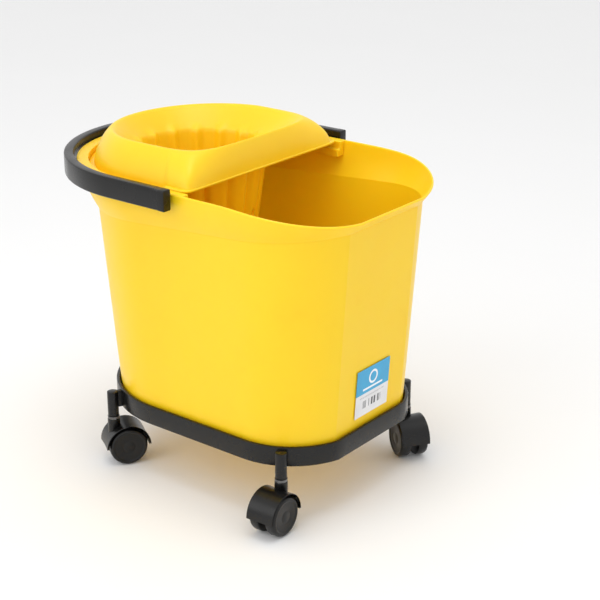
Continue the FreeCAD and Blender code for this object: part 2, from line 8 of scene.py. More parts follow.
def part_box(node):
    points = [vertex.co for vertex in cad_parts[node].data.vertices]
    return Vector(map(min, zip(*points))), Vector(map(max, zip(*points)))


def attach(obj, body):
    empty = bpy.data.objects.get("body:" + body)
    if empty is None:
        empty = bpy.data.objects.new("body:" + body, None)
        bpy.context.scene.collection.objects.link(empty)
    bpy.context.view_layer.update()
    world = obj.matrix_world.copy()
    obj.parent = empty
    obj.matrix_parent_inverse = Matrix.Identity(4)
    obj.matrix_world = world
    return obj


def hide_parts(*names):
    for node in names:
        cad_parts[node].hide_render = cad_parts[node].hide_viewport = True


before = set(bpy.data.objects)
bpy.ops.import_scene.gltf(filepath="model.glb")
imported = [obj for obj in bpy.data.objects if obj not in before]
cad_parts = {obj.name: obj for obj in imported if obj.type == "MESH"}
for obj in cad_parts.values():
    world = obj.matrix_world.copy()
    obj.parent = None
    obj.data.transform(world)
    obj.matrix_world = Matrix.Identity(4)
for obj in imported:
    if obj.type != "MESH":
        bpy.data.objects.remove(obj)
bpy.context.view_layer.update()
scene = bpy.context.scene
print("frame loaded")


# Meshes are worked out in millimetres and turned into metres when the piece is finished.
millimetre = 0.001


def nodeBox(name):
    low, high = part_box(name)
    return low / millimetre, high / millimetre


def middle(name):
    low, high = nodeBox(name)
    return (low + high) / 2


# Node trees

class Wire:
    # One output socket, so that shader maths reads as sums
    def __init__(self, finish, socket):
        self.finish = finish
        self.socket = socket

    def __add__(self, other):
        return self.finish.maths("ADD", self, other)

    def __radd__(self, other):
        return self.finish.maths("ADD", other, self)

    def __sub__(self, other):
        return self.finish.maths("SUBTRACT", self, other)

    def __rsub__(self, other):
        return self.finish.maths("SUBTRACT", other, self)

    def __mul__(self, other):
        return self.finish.maths("MULTIPLY", self, other)

    def __rmul__(self, other):
        return self.finish.maths("MULTIPLY", other, self)


class Finish:
    def __init__(self, name):
        self.material = bpy.data.materials.new(name)
        self.material.use_nodes = True
        self.tree = self.material.node_tree
        self.tree.nodes.clear()

    def node(self, kind, settings=None, values=None, output=0):
        item = self.tree.nodes.new(kind)
        for key, value in (settings or {}).items():
            setattr(item, key, value)
        for key, value in (values or {}).items():
            if isinstance(value, Wire):
                self.tree.links.new(value.socket, item.inputs[key])
            else:
                item.inputs[key].default_value = value
        return Wire(self, item.outputs[output]) if item.outputs else None

    def maths(self, operation, first, second=0.0):
        return self.node("ShaderNodeMath", {"operation": operation}, {0: first, 1: second})

    def place(self, scale=(1, 1, 1)):
        coordinates = self.node("ShaderNodeTexCoord", output="Object")
        return self.node("ShaderNodeMapping", values={"Vector": coordinates, "Scale": scale})

    def noise(self, scale, detail=2.0, rough=0.5, vector=None):
        return self.node("ShaderNodeTexNoise", values={
            "Vector": vector or self.place(), "Scale": scale, "Detail": detail, "Roughness": rough})

    def ramp(self, factor, low, high):
        # 0 up to low, 1 from high on, smooth between
        return self.node("ShaderNodeMapRange", {"interpolation_type": "SMOOTHSTEP", "clamp": True},
                         {"Value": factor, "From Min": low, "From Max": high})

    def blend(self, factor, first, second):
        return self.node("ShaderNodeMix", {"data_type": "RGBA"}, {0: factor, 6: first, 7: second}, 2)

    def bump(self, height, distance, strength=1.0, under=None):
        values = {"Height": height, "Distance": distance, "Strength": strength}
        if under:
            values["Normal"] = under
        return self.node("ShaderNodeBump", values=values)

    def surface(self, **values):
        values = {key.replace("_", " "): value for key, value in values.items()}
        shader = self.node("ShaderNodeBsdfPrincipled", values=values)
        self.node("ShaderNodeOutputMaterial", values={"Surface": shader})
        return self.material


def height(finish):
    return finish.node("ShaderNodeSeparateXYZ", values={"Vector": finish.place()}, output="Z")


def makeYellowPlastic():
    yellow = Finish("yellowPlastic")
    flow = yellow.noise(7.0, 3.0, vector=yellow.place((1, 1, 0.25)))
    cloud = yellow.noise(26.0, 4.0, 0.6)
    grain = yellow.noise(1500.0, 2.0)
    ripple = yellow.noise(34.0, 1.0)
    low = 1 - yellow.ramp(height(yellow), 0.06, 0.13)
    scuff = yellow.ramp(yellow.noise(160.0, 5.0, 0.7, yellow.place((1, 1, 2.4))), 0.60, 0.72) * low
    base = yellow.blend(yellow.ramp(flow, 0.30, 0.72), (0.98, 0.590, 0.005, 1), (1.0, 0.625, 0.008, 1))
    base = yellow.blend(yellow.ramp(cloud, 0.52, 0.80) * 0.35, base, (0.97, 0.560, 0.005, 1))
    base = yellow.blend(scuff * 0.45, base, (0.80, 0.50, 0.06, 1))
    rough = 0.34 + yellow.ramp(cloud, 0.3, 0.7) * 0.07 + scuff * 0.22
    waves = yellow.bump(ripple, 0.0006, 0.35)
    relief = yellow.bump(grain, 0.00005, 0.5, waves)
    return yellow.surface(Base_Color=base, Roughness=rough, Normal=relief, IOR=1.5,
                          Specular_IOR_Level=0.4, Subsurface_Weight=0.25,
                          Subsurface_Scale=0.012, Subsurface_Radius=(1.0, 0.5, 0.02))


def makeBlackPlastic(name, tone, rough, grainDepth):
    black = Finish(name)
    grain = black.noise(1900.0, 3.0, 0.6)
    cloud = black.noise(38.0, 3.0)
    dust = black.ramp(black.noise(240.0, 6.0, 0.75), 0.62, 0.76)
    base = black.blend(black.ramp(cloud, 0.3, 0.7), (tone, tone * 0.97, tone * 0.92, 1),
                       (tone * 1.5, tone * 1.42, tone * 1.34, 1))
    base = black.blend(dust * 0.2, base, (0.03, 0.028, 0.025, 1))
    finishRough = rough + black.ramp(cloud, 0.3, 0.8) * 0.10 + dust * 0.12
    relief = black.bump(grain, grainDepth, 0.6)
    return black.surface(Base_Color=base, Roughness=finishRough, Normal=relief, IOR=1.42)


def makeSteel(name, tone, rough):
    steel = Finish(name)
    turned = steel.noise(900.0, 2.0, vector=steel.place((0.15, 0.15, 1)))
    stain = steel.ramp(steel.noise(220.0, 4.0), 0.45, 0.75)
    base = steel.blend(stain, (tone, tone, tone * 1.02, 1), (tone * 0.6, tone * 0.56, tone * 0.5, 1))
    return steel.surface(Base_Color=base, Metallic=1.0, Roughness=rough + stain * 0.2,
                         Normal=steel.bump(turned, 0.00003, 0.5))


def makeLabelFilm():
    # Blue upper field with a plain ring and stripe, white lower field with a bar pattern
    film = Finish("labelFilm")
    low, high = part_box("label")
    spot = film.place()
    across = film.node("ShaderNodeSeparateXYZ", values={"Vector": spot}, output="Y")
    up = film.node("ShaderNodeSeparateXYZ", values={"Vector": spot}, output="Z")
    u = (across - low.y) * (1 / (high.y - low.y))
    v = (up - low.z) * (1 / (high.z - low.z))

    def inside(value, first, last, soft=0.006):
        begun = film.ramp(value, first - soft, first + soft)
        return begun * (1 - film.ramp(value, last - soft, last + soft))

    upper = film.ramp(v, 0.465, 0.475)
    du = u - 0.5
    dv = (v - 0.76) * 0.94
    radius = film.maths("SQRT", du * du + dv * dv)
    ring = inside(radius, 0.095, 0.135)
    stripe = inside(u, 0.20, 0.80) * inside(v, 0.535, 0.575)
    cells = film.maths("FLOOR", u * 62.0)
    bars = film.node("ShaderNodeTexWhiteNoise", {"noise_dimensions": "1D"}, {"W": cells})
    code = film.ramp(bars, 0.48, 0.52) * inside(u, 0.22, 0.78) * inside(v, 0.15, 0.31)
    rows = inside(v, 0.375, 0.405) * inside(u, 0.12, 0.88) * film.ramp(
        film.noise(900.0, 1.0), 0.44, 0.50)
    fade = film.noise(60.0, 2.0)
    blue = film.blend(film.ramp(fade, 0.3, 0.7), (0.018, 0.34, 0.62, 1), (0.024, 0.38, 0.67, 1))
    white = film.blend(film.ramp(fade, 0.3, 0.7), (0.72, 0.72, 0.74, 1), (0.78, 0.78, 0.79, 1))
    panel = film.blend(code, white, (0.05, 0.05, 0.06, 1))
    panel = film.blend(rows * 0.6, panel, (0.30, 0.31, 0.33, 1))
    field = film.blend(film.maths("MAXIMUM", ring, stripe), blue, (0.88, 0.9, 0.92, 1))
    base = film.blend(upper, panel, field)
    relief = film.bump(film.noise(320.0, 2.0), 0.00004, 0.5)
    return film.surface(Base_Color=base, Roughness=0.30 + film.ramp(fade, 0.3, 0.7) * 0.08,
                        Normal=relief, Coat_Weight=0.15)


yellowPlastic = makeYellowPlastic()
blackPlastic = makeBlackPlastic("blackPlastic", 0.003, 0.24, 0.00003)
wheelPlastic = makeBlackPlastic("wheelPlastic", 0.0035, 0.30, 0.00003)
pinSteel = makeSteel("pinSteel", 0.22, 0.34)
springSteel = makeSteel("springSteel", 0.38, 0.26)
labelFilm = makeLabelFilm()
print("finishes made")


# Mesh helpers

def finishPiece(name, bm, material, body, nodes, sharpAngle=32.0):
    bmesh.ops.remove_doubles(bm, verts=bm.verts, dist=0.005)
    bmesh.ops.recalc_face_normals(bm, faces=bm.faces)
    return placePiece(name, bm, material, body, nodes, sharpAngle)


def placePiece(name, bm, material, body, nodes, sharpAngle=32.0):
    bmesh.ops.scale(bm, vec=(millimetre,) * 3, verts=bm.verts)
    for face in bm.faces:
        face.smooth = True
    for edge in bm.edges:
        if len(edge.link_faces) == 2 and edge.calc_face_angle() > math.radians(sharpAngle):
            edge.smooth = False
    mesh = bpy.data.meshes.new(name)
    bm.to_mesh(mesh)
    bm.free()
    piece = bpy.data.objects.new(name, mesh)
    scene.collection.objects.link(piece)
    mesh.materials.append(material)
    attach(piece, body)
    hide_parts(*nodes)
    return piece


def lineTo(bm, vert, x, y, cuts):
    start, end = vert.co.copy(), Vector((x, y, vert.co.z))
    for step in range(1, cuts + 2):
        vert = bmesh.ops.extrude_vert_indiv(bm, verts=[vert])["verts"][0]
        vert.co = start.lerp(end, step / (cuts + 1))
    return vert


def arcTo(bm, vert, x, y, angle, steps):
    made = bmesh.ops.spin(bm, geom=[vert], cent=(x, y, vert.co.z), axis=(0, 0, 1), angle=angle,
                          steps=steps)
    return [item for item in made["geom_last"] if isinstance(item, bmesh.types.BMVert)][0]


def tubPoints(outline, level, tilt=0.0):
    # Plan outline: flat front, two corner arcs, straight sides, round rear; tilted about Y
    front, corner, cornerX, half, rearX = outline
    reach = math.acos((front - cornerX) / corner)
    centreY = half - corner
    edgeY = centreY + corner * math.sin(reach)
    bm = bmesh.new()
    vert = bmesh.ops.create_vert(bm, co=(front, -edgeY, 0))["vert"][0]
    vert = lineTo(bm, vert, front, edgeY, tub["frontCuts"])
    vert = arcTo(bm, vert, cornerX, centreY, math.pi / 2 - reach, tub["cornerSteps"])
    vert = lineTo(bm, vert, rearX, half, tub["sideCuts"])
    vert = arcTo(bm, vert, rearX, 0, math.pi, tub["rearSteps"])
    vert = lineTo(bm, vert, cornerX, -half, tub["sideCuts"])
    arcTo(bm, vert, cornerX, -centreY, math.pi / 2 - reach, tub["cornerSteps"])
    bmesh.ops.remove_doubles(bm, verts=bm.verts, dist=0.01)
    lean = math.radians(tilt)
    bm.verts.ensure_lookup_table()
    vert = bm.verts[0]
    edge = [item for item in vert.link_edges if item.other_vert(vert).co.y > vert.co.y + 0.01][0]
    points = []
    for _ in range(len(bm.verts)):
        points.append(Vector((vert.co.x * math.cos(lean), vert.co.y,
                              level + vert.co.x * math.sin(lean))))
        vert = edge.other_vert(vert)
        edge = [item for item in vert.link_edges if item is not edge][0]
    bm.free()
    return points


def ringThrough(bm, points):
    # A closed ring from a circle, its vertices slid to the given places
    made = bmesh.ops.create_circle(bm, segments=len(points), radius=1)
    for vert, point in zip(made["verts"], points):
        vert.co = point
    return list({edge for vert in made["verts"] for edge in vert.link_edges})


def bridge(bm, rings, closed=False):
    pairs = list(zip(rings, rings[1:]))
    if closed:
        pairs.append((rings[-1], rings[0]))
    for first, second in pairs:
        bmesh.ops.bridge_loops(bm, edges=first + second)


def skin(bm, pointRings, closed=False):
    rings = [ringThrough(bm, points) for points in pointRings]
    bridge(bm, rings, closed)
    return rings


def mixPoints(first, second, part):
    return [a.lerp(b, part) for a, b in zip(first, second)]


def lathe(bm, profile, steps, matrix=None):
    # Profile of (radius, level) pairs turned once about Z
    start = bmesh.ops.create_vert(bm, co=(profile[0][0], 0, profile[0][1]))["vert"][0]
    verts, edges = [start], []
    for radius, level in profile[1:]:
        made = bmesh.ops.extrude_vert_indiv(bm, verts=[verts[-1]])
        made["verts"][0].co = (radius, 0, level)
        verts += made["verts"]
        edges += made["edges"]
    before = set(bm.verts) - set(verts)
    bmesh.ops.spin(bm, geom=verts + edges, cent=(0, 0, 0), axis=(0, 0, 1), angle=math.tau,
                   steps=steps, use_merge=True)
    turned = [vert for vert in bm.verts if vert not in before]
    bmesh.ops.remove_doubles(bm, verts=turned, dist=0.002)
    turned = [vert for vert in bm.verts if vert not in before]
    if matrix:
        bmesh.ops.transform(bm, matrix=matrix, verts=turned)
    return turned


def roundSharp(bm, offset, segments=2, angle=40.0, faces=None):
    edges = [edge for edge in bm.edges if len(edge.link_faces) == 2
             and edge.calc_face_angle() > math.radians(angle)]
    if faces:
        edges = [edge for edge in edges if all(face in faces for face in edge.link_faces)]
    bmesh.ops.bevel(bm, geom=edges, offset=offset, offset_type="OFFSET", affect="EDGES",
                    segments=segments, profile=0.5, material=-1, clamp_overlap=True)


# Bucket: outlines as (flat front, corner radius, corner centre, half width, rear centre)
tub = {
    "frontCuts": 9, "cornerSteps": 16, "sideCuts": 11, "rearSteps": 64,
    "foot": (163, 73, 93.4, 106, -29),
    "band": (179, 83, 98.3, 118.5, -34),
    "mid": (189, 91, 99.2, 125, -41),
    "rim": (198, 94, 106, 127.5, -48),
    "levels": (65, 281, 300, 320),
    "tilts": (0.0, 4.0, 1.6, 0.0),
    "wall": 2.5,
    "bandStep": 0.9,
    "wallRings": 8,
    "bandRings": 9,
    "lipStart": 76,
    "lipSweep": 390,
    "footRound": 4.0,
    "rimHalvings": 24,
    "lipRings": 8,
    # Seat ring rails as (half width, rear centre, level), from the rim in and down to the ledge
    "seatRails": ((126.0, -48, 320), (117.5, -45, 320), (117.5, -45, 312), (113, -45, 312),
                  (113, -45, 304), (123.4, -43, 304)),
    "seatFront": 38, "seatCuts": 9, "seatTurnSteps": 72,
    "seatRound": 1.1,
}


def shrink(outline, inset):
    front, corner, cornerX, half, rearX = outline
    return (front - inset, corner - inset, cornerX, half - inset, rearX)


def rimLine(x):
    if x < tub["lipStart"]:
        return tub["levels"][3]
    run = x - tub["lipStart"]
    return tub["levels"][3] - tub["lipSweep"] + math.sqrt(tub["lipSweep"] ** 2 - run ** 2)


def bandPoints(inset, under):
    # Rings from the band's lower edge up to the rim line, less the lip's own rounding
    stages = [tubPoints(shrink(tub[name], inset), level, tilt) for name, level, tilt
              in zip(("band", "mid", "rim"), tub["levels"][1:], tub["tilts"][1:])]

    def along(index, u):
        band, mid, rim = [stage[index] for stage in stages]
        return band * ((1 - u) * (1 - 2 * u)) + mid * (4 * u * (1 - u)) + rim * (u * (2 * u - 1))

    ends = []
    for index in range(len(stages[0])):
        low, high = 0.0, 1.0
        for _ in range(tub["rimHalvings"]):
            half = (low + high) / 2
            point = along(index, half)
            if point.z < rimLine(point.x) - under:
                low = half
            else:
                high = half
        ends.append(low)
    count = tub["bandRings"]
    return [[along(index, end * step / count) for index, end in enumerate(ends)]
            for step in range(count + 1)]


def wallPoints(inset, footLevel, bottomRound):
    foot = tubPoints(shrink(tub["foot"], inset), footLevel)
    band = tubPoints(shrink(tub["band"], inset), tub["levels"][1], tub["tilts"][1])
    rings = []
    tight = tubPoints(shrink(tub["foot"], inset + bottomRound), footLevel)
    for step in range(4):
        angle = math.pi / 2 * step / 3
        ring = mixPoints(tight, foot, math.sin(angle))
        for point in ring:
            point.z = footLevel + bottomRound * (1 - math.cos(angle))
        rings.append(ring)
    for step in range(1, tub["wallRings"]):
        rings.append(mixPoints(foot, band, step / tub["wallRings"]))
    return rings


def makeBucket():
    bm = bmesh.new()
    lipHalf = tub["wall"] / 2
    outer = wallPoints(tub["bandStep"], tub["levels"][0], tub["footRound"])
    outerBand = bandPoints(0, lipHalf)
    stepUnder = [Vector((point.x, point.y, point.z - 0.2)) for point in
                 tubPoints(shrink(tub["band"], tub["bandStep"]), tub["levels"][1], tub["tilts"][1])]
    inner = wallPoints(tub["wall"], tub["levels"][0] + tub["wall"], tub["footRound"])
    innerBand = bandPoints(tub["wall"], lipHalf)
    lip = []
    for step in range(1, tub["lipRings"]):
        angle = math.pi * step / tub["lipRings"]
        ring = mixPoints(outerBand[-1], innerBand[-1], (1 - math.cos(angle)) / 2)
        for point in ring:
            point.z += lipHalf * math.sin(angle)
        lip.append(ring)
    pointRings = outer + [stepUnder] + outerBand + lip + innerBand[::-1] + inner[::-1]
    rings = skin(bm, pointRings)
    for ring in (rings[0], rings[-1]):
        bmesh.ops.contextual_create(bm, geom=ring)
    addSeatRing(bm)
    return finishPiece("bucketShell", bm, yellowPlastic, "bucket", ["bucket"], 14.0)


def seatRail(bm, half, rearX, level):
    # Open rail round the rear half of the mouth
    before = set(bm.edges)
    vert = bmesh.ops.create_vert(bm, co=(tub["seatFront"], -half, level))["vert"][0]
    vert = lineTo(bm, vert, rearX, -half, tub["seatCuts"])
    vert = arcTo(bm, vert, rearX, 0, -math.pi, tub["seatTurnSteps"])
    lineTo(bm, vert, tub["seatFront"], half, tub["seatCuts"])
    return [edge for edge in bm.edges if edge not in before]


def addSeatRing(shell):
    # Flat rim that narrows to a pocket and ledge for the wringer's flange
    bm = bmesh.new()
    rails = [seatRail(bm, half, rearX, level) for half, rearX, level in tub["seatRails"]]
    bridge(bm, rails, closed=True)
    for side in (-1, 1):
        ends = [vert for vert in bm.verts
                if abs(vert.co.x - tub["seatFront"]) < 0.01 and vert.co.y * side > 0]
        bmesh.ops.contextual_create(bm, geom=ends)
    bmesh.ops.recalc_face_normals(bm, faces=bm.faces)
    roundSharp(bm, tub["seatRound"], 3, 50.0)
    mesh = bpy.data.meshes.new("seatRing")
    bm.to_mesh(mesh)
    bm.free()
    shell.from_mesh(mesh)
    bpy.data.meshes.remove(mesh)


bucketShell = makeBucket()
print("bucket made")


# Wringer: one moulded skin from flange over the hood and crest into the ribbed basket
wringer = {
    "segments": 320,
    "centre": -52,
    "flange": (35, 117, -45), "flangeLow": 312, "flangeTop": 314.5,
    "hood": (34, 112, -45),
    "crest": (27, 92, -47), "crestLevel": 349.9, "spread": (80, 92),
    "crestCorner": 5, "rearDrop": 0.035,
    "slope": ((0, 0), (0.05, 0.16), (0.12, 0.30), (0.22, 0.44), (0.34, 0.57), (0.48, 0.70),
              (0.62, 0.81), (0.76, 0.90), (0.87, 0.96), (0.94, 0.99), (1, 1)),
    "funnel": ((0.05, 0.01), (0.11, 0.04), (0.20, 0.12), (0.32, 0.24), (0.46, 0.39), (0.60, 0.54),
               (0.72, 0.67), (0.83, 0.79), (0.91, 0.88), (0.97, 0.95), (1, 1)),
    "throat": 66.5, "throatLevel": 326,
    "basketLevels": (322, 315, 305, 292, 280, 270, 266, 261, 255, 250, 240, 228, 216, 205, 198),
    "floorRadius": 48.5, "floorLevel": 194.5,
    "floorRings": (38, 36, 34, 32, 30, 28, 26, 14, 4),
    "wall": 2.5,
    "ribs": 16, "ribDepth": 4.2,
    "padFrom": 4, "frontRise": 6.5,
    "slotLow": 250, "slotHigh": 266,
    "drainRing": 32, "drainRadius": 4, "drains": 8,
}


def aroundCrest(place):
    # One point for each direction out of the basket's axis
    points = []
    for index in range(wringer["segments"]):
        angle = math.tau * index / wringer["segments"]
        points.append(place(math.cos(angle), math.sin(angle), angle))
    return points


def hoodPoints(size, level, corner=26):
    # D outline: straight front, straight sides, round rear; a low corner value rounds it more
    front, half, rearX = size
    centre = wringer["centre"]

    def place(c, s, angle):
        way = Vector((c * wringer["spread"][0], s * wringer["spread"][1])).normalized()
        reachFront = (front - centre) / way.x if way.x > 0.01 else 1e6
        sideAt = half / abs(way.y) if abs(way.y) > 0.01 else 1e6
        if centre + way.x * sideAt < rearX:
            shift = centre - rearX
            across = way.x * shift
            sideAt = -across + math.sqrt(across ** 2 - shift ** 2 + half ** 2)
        reach = (reachFront ** -corner + sideAt ** -corner) ** (-1 / corner)
        return Vector((centre + way.x * reach, way.y * reach, level))
    return aroundCrest(place)


def ovalPoints(reachX, reachY, level):
    return aroundCrest(lambda c, s, angle: Vector((wringer["centre"] + reachX * c, reachY * s, level)))


def ribbedPoints(radius, depth, level):
    def place(c, s, angle):
        ridge = (0.5 + 0.5 * math.cos(wringer["ribs"] * angle)) ** 3
        reach = radius - depth * ridge
        return Vector((wringer["centre"] + reach * c, reach * s, level))
    return aroundCrest(place)


def raiseFront(points):
    # The front of the flange steps up level with the bucket's flat rim
    for point in points:
        if point.x > wringer["padFrom"]:
            point.z += wringer["frontRise"]
    return points


def makeWringer():
    bm = bmesh.new()
    flangeLow, flangeTop, crestLevel = [wringer[key] for key in ("flangeLow", "flangeTop", "crestLevel")]
    pointRings = [raiseFront(hoodPoints(wringer["flange"], flangeLow + 0.3))]
    pointRings.append(raiseFront(hoodPoints(wringer["flange"], flangeTop - 0.5)))
    edge = tuple(size - 0.5 for size in wringer["flange"][:2]) + (wringer["flange"][2],)
    pointRings.append(raiseFront(hoodPoints(edge, flangeTop)))
    foot = raiseFront(hoodPoints(wringer["hood"], flangeTop))
    crest = hoodPoints(wringer["crest"], crestLevel, wringer["crestCorner"])
    for point in crest:
        point.z -= max(0, wringer["centre"] - point.x) * wringer["rearDrop"]
    for part, rise in wringer["slope"]:
        ring = mixPoints(foot, crest, part)
        for point, start, top in zip(ring, foot, crest):
            point.z = start.z + (top.z - start.z) * rise
        pointRings.append(ring)
    throat, throatLevel = wringer["throat"], wringer["throatLevel"]
    for part, drop in wringer["funnel"]:
        ribs = ribbedPoints(throat, wringer["ribDepth"] * min(1, max(0, drop * 3 - 2)), 0)
        ring = mixPoints(crest, ribs, part)
        for point, top in zip(ring, crest):
            point.z = top.z - (top.z - throatLevel) * drop
        pointRings.append(ring)
    floorLevel = wringer["floorLevel"]
    for level in wringer["basketLevels"]:
        part = (throatLevel - level) / (throatLevel - floorLevel)
        radius = throat + (wringer["floorRadius"] - throat) * part
        pointRings.append(ribbedPoints(radius, wringer["ribDepth"], level))
    for radius, level in ((wringer["floorRadius"] - 0.8, 195.4), (wringer["floorRadius"] - 3, floorLevel)):
        pointRings.append(ribbedPoints(radius, wringer["ribDepth"], level))
    for radius in wringer["floorRings"]:
        pointRings.append(ovalPoints(radius, radius, floorLevel))
    rings = skin(bm, pointRings)
    bmesh.ops.contextual_create(bm, geom=rings[-1])
    openSlots(bm)
    openDrains(bm)
    bmesh.ops.remove_doubles(bm, verts=bm.verts, dist=0.005)
    bmesh.ops.recalc_face_normals(bm, faces=bm.faces)
    highest = max(bm.faces, key=lambda face: face.calc_center_median().z)
    if highest.normal.z < 0:
        bmesh.ops.reverse_faces(bm, faces=bm.faces)
    hood = placePiece("wringerHood", bm, yellowPlastic, "wringer", ["wringer"], 50.0)
    walls = hood.modifiers.new("walls", "SOLIDIFY")
    walls.thickness = wringer["wall"] * millimetre
    walls.offset = -1
    return hood


def aboutAxis(point):
    return math.atan2(point.y, point.x - wringer["centre"])


def openSlots(bm):
    # A narrow slot low in each panel between two ribs
    pitch = math.tau / wringer["ribs"]
    gone = []
    for face in bm.faces:
        centre = face.calc_center_median()
        off = (aboutAxis(centre) / pitch) % 1.0 - 0.5
        if wringer["slotLow"] < centre.z < wringer["slotHigh"] and abs(off) < 0.1:
            gone.append(face)
    bmesh.ops.delete(bm, geom=gone, context="FACES")


def openDrains(bm):
    # Round holes in the basket's floor
    pitch = math.tau / wringer["drains"]
    ring, size = wringer["drainRing"], wringer["drainRadius"]
    axis = Vector((wringer["centre"], 0, wringer["floorLevel"]))
    for index in range(wringer["drains"]):
        spot = axis + Vector((math.cos(pitch * index), math.sin(pitch * index), 0)) * ring
        gone = [face for face in bm.faces if abs(face.calc_center_median().z - spot.z) < 0.1
                and (face.calc_center_median() - spot).length < size]
        edges = {edge for face in gone for edge in face.edges
                 if any(other not in gone for other in edge.link_faces)}
        rim = {vert for edge in edges for vert in edge.verts}
        bmesh.ops.delete(bm, geom=gone, context="FACES")
        for vert in rim:
            vert.co = spot + (vert.co - spot).normalized() * size


wringerHood = makeWringer()
print("wringer made")


# Bail handle: flat strap bent round the rear, a block at each end and a stud into the bucket
bail = {
    "thick": 10.0, "recess": 0.5, "blockLength": 8, "blockStep": 0.5, "edge": 1.5,
    "straightSteps": 5, "turnSteps": 72,
    "studRadius": 5, "studChamfer": 0.8, "studTip": 120, "studInset": 9, "studRise": 7.4,
}


def makeHandle():
    low, high = nodeBox("handle")
    thick, tall = bail["thick"], high.z - low.z
    outerY = high.y
    endX, level = high.x, (low.z + high.z) / 2
    rearX = low.x + outerY
    bm = bmesh.new()
    made = bmesh.ops.create_grid(bm, x_segments=1, y_segments=1, size=0.5)
    bmesh.ops.scale(bm, vec=(tall, thick, 1), verts=made["verts"])
    bmesh.ops.rotate(bm, cent=(0, 0, 0), matrix=Matrix.Rotation(math.pi / 2, 3, "Y"), verts=bm.verts)
    bmesh.ops.bevel(bm, geom=list(bm.verts), offset=bail["edge"], offset_type="OFFSET",
                    affect="VERTICES", segments=3, profile=0.5, material=-1)
    bmesh.ops.translate(bm, vec=(endX, -(outerY - thick / 2), level), verts=bm.verts)

    def outward(verts, amount):
        # Slides the outer face's vertices away from or towards the middle of the bucket
        for vert in verts:
            way = Vector((vert.co.x - rearX if vert.co.x < rearX else 0, vert.co.y, 0))
            if way.length > outerY - thick / 2:
                vert.co += way.normalized() * amount

    def push(faces, shift):
        made = bmesh.ops.extrude_face_region(bm, geom=faces)
        verts = [item for item in made["geom"] if isinstance(item, bmesh.types.BMVert)]
        bmesh.ops.translate(bm, vec=shift, verts=verts)
        bmesh.ops.delete(bm, geom=faces, context="FACES_ONLY")
        return [item for item in made["geom"] if isinstance(item, bmesh.types.BMFace)], verts

    cap = list(bm.faces)
    # The copy stays behind and closes the near end
    bmesh.ops.duplicate(bm, geom=cap)
    step, count = bail["blockStep"], bail["straightSteps"]
    face = push(cap, (-bail["blockLength"], 0, 0))[0]
    face, verts = push(face, (-step, 0, 0))
    outward(verts, -bail["recess"])
    run = endX - rearX - bail["blockLength"] - step
    for _ in range(count):
        face = push(face, (-run / count, 0, 0))[0]
    spun = bmesh.ops.spin(bm, geom=face, cent=(rearX, 0, level), axis=(0, 0, 1), angle=-math.pi,
                          steps=bail["turnSteps"])
    bmesh.ops.delete(bm, geom=face, context="FACES_ONLY")
    face = [item for item in spun["geom_last"] if isinstance(item, bmesh.types.BMFace)]
    for _ in range(count):
        face = push(face, (run / count, 0, 0))[0]
    face, verts = push(face, (step, 0, 0))
    outward(verts, bail["recess"])
    push(face, (bail["blockLength"], 0, 0))
    bmesh.ops.remove_doubles(bm, verts=bm.verts, dist=0.005)
    bmesh.ops.recalc_face_normals(bm, faces=bm.faces)
    roundSharp(bm, 0.5, 2, 70.0)
    # The studs' roots run 1 mm into the strap
    radius, chamfer = bail["studRadius"], bail["studChamfer"]
    root = outerY - thick - bail["studTip"] + 1
    profile = [(0, 0), (radius - chamfer, 0), (radius, chamfer), (radius, root), (0, root)]
    for side in (-1, 1):
        tip = (endX - bail["studInset"], side * bail["studTip"], low.z + bail["studRise"])
        turn = Matrix.Translation(tip) @ Matrix.Rotation(-side * math.pi / 2, 4, "X")
        lathe(bm, profile, 40, turn)
    return finishPiece("handleStrap", bm, blackPlastic, "handle", ["handle"], 40.0)


handleStrap = makeHandle()
print("handle made")


# Dolly: ring round the tub's foot with a socket tube and web at each castor
dolly = {
    "gap": 1.8, "wall": 3.5, "ledge": 12, "low": 62, "floor": 65, "high": 82, "edge": 0.8,
    "tubeRadius": 5.75, "tubeBore": 4.05, "tubeLow": 53, "tubeHigh": 80, "tubeCap": 1.6,
    "webThick": 5,
}
castorSpots = {}
for position in ("front_left", "front_right", "rear_left", "rear_right"):
    stem = middle("castor_%s_stem" % position)
    castorSpots[position] = Vector((stem.x, stem.y, 0))


def makeDolly():
    bm = bmesh.new()
    grow = dolly["gap"] + dolly["wall"]
    section = [(grow, dolly["low"]), (grow, dolly["high"]), (dolly["gap"], dolly["high"]),
               (dolly["gap"], dolly["floor"]), (-dolly["ledge"], dolly["floor"]),
               (-dolly["ledge"], dolly["low"])]
    skin(bm, [tubPoints(shrink(tub["foot"], -out), level) for out, level in section], closed=True)
    bmesh.ops.recalc_face_normals(bm, faces=bm.faces)
    roundSharp(bm, dolly["edge"], 2, 60.0)
    for position, spot in castorSpots.items():
        radius, bore = dolly["tubeRadius"], dolly["tubeBore"]
        low, high = dolly["tubeLow"], dolly["tubeHigh"]
        lathe(bm, [(0, high - dolly["tubeCap"]), (bore, high - dolly["tubeCap"]), (bore, low + 0.5),
                   (bore + 0.5, low), (radius - 0.5, low), (radius, low + 0.5), (radius, high - 0.9),
                   (radius - 0.25, high - 0.3), (radius - 0.9, high), (0, high)], 40,
              Matrix.Translation(spot))
        addWeb(bm, position, spot)
    return finishPiece("dollyRing", bm, blackPlastic, "dolly", ["dolly_frame"])


